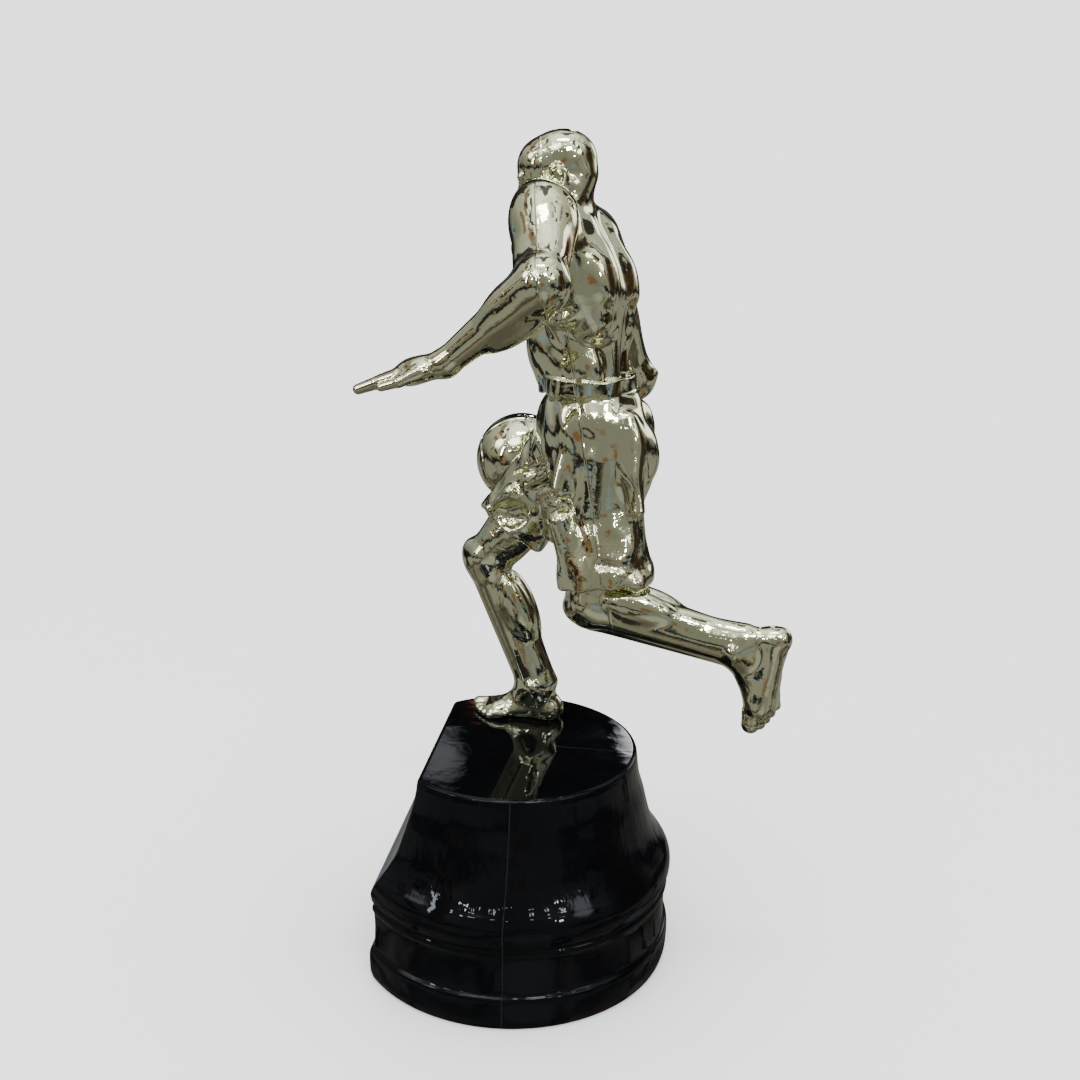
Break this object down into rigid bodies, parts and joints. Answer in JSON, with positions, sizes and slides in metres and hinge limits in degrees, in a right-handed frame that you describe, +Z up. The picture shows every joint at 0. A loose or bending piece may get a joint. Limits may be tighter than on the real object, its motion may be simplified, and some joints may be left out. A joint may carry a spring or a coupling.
{
  "type": "figure trophy",
  "caption": "Figure trophy: bright gold dribbling basketball player, one leg kicked back, on a gloss black D-shaped weighted base.",
  "frame": {"origin": "centre of the round part of the base, on the surface it stands on", "axes": "+Z up, -Y towards the flat front of the base and the way the player runs, +X to the player's left"},
  "size_m": [0.0997, 0.1052, 0.2206],
  "materials": {
    "figure_gold": "vacuum-metallised pale champagne gold, mirror bright",
    "ball_gold": "vacuum-metallised pale champagne gold, mirror bright",
    "base_black": "high gloss black moulding",
    "fixing_steel": "bright zinc",
    "ballast_iron": "as cast",
    "felt_black": "short black felt"
  },
  "bodies": {
    "root": {"figure_front_half": "figure_gold", "figure_rear_half": "figure_gold", "basketball": "ball_gold", "base_shell": "base_black", "foot_stud": "fixing_steel", "washer": "fixing_steel", "hex_nut": "fixing_steel", "ballast_disc": "ballast_iron", "felt_pad": "felt_black"}
  },
  "joints": []
}
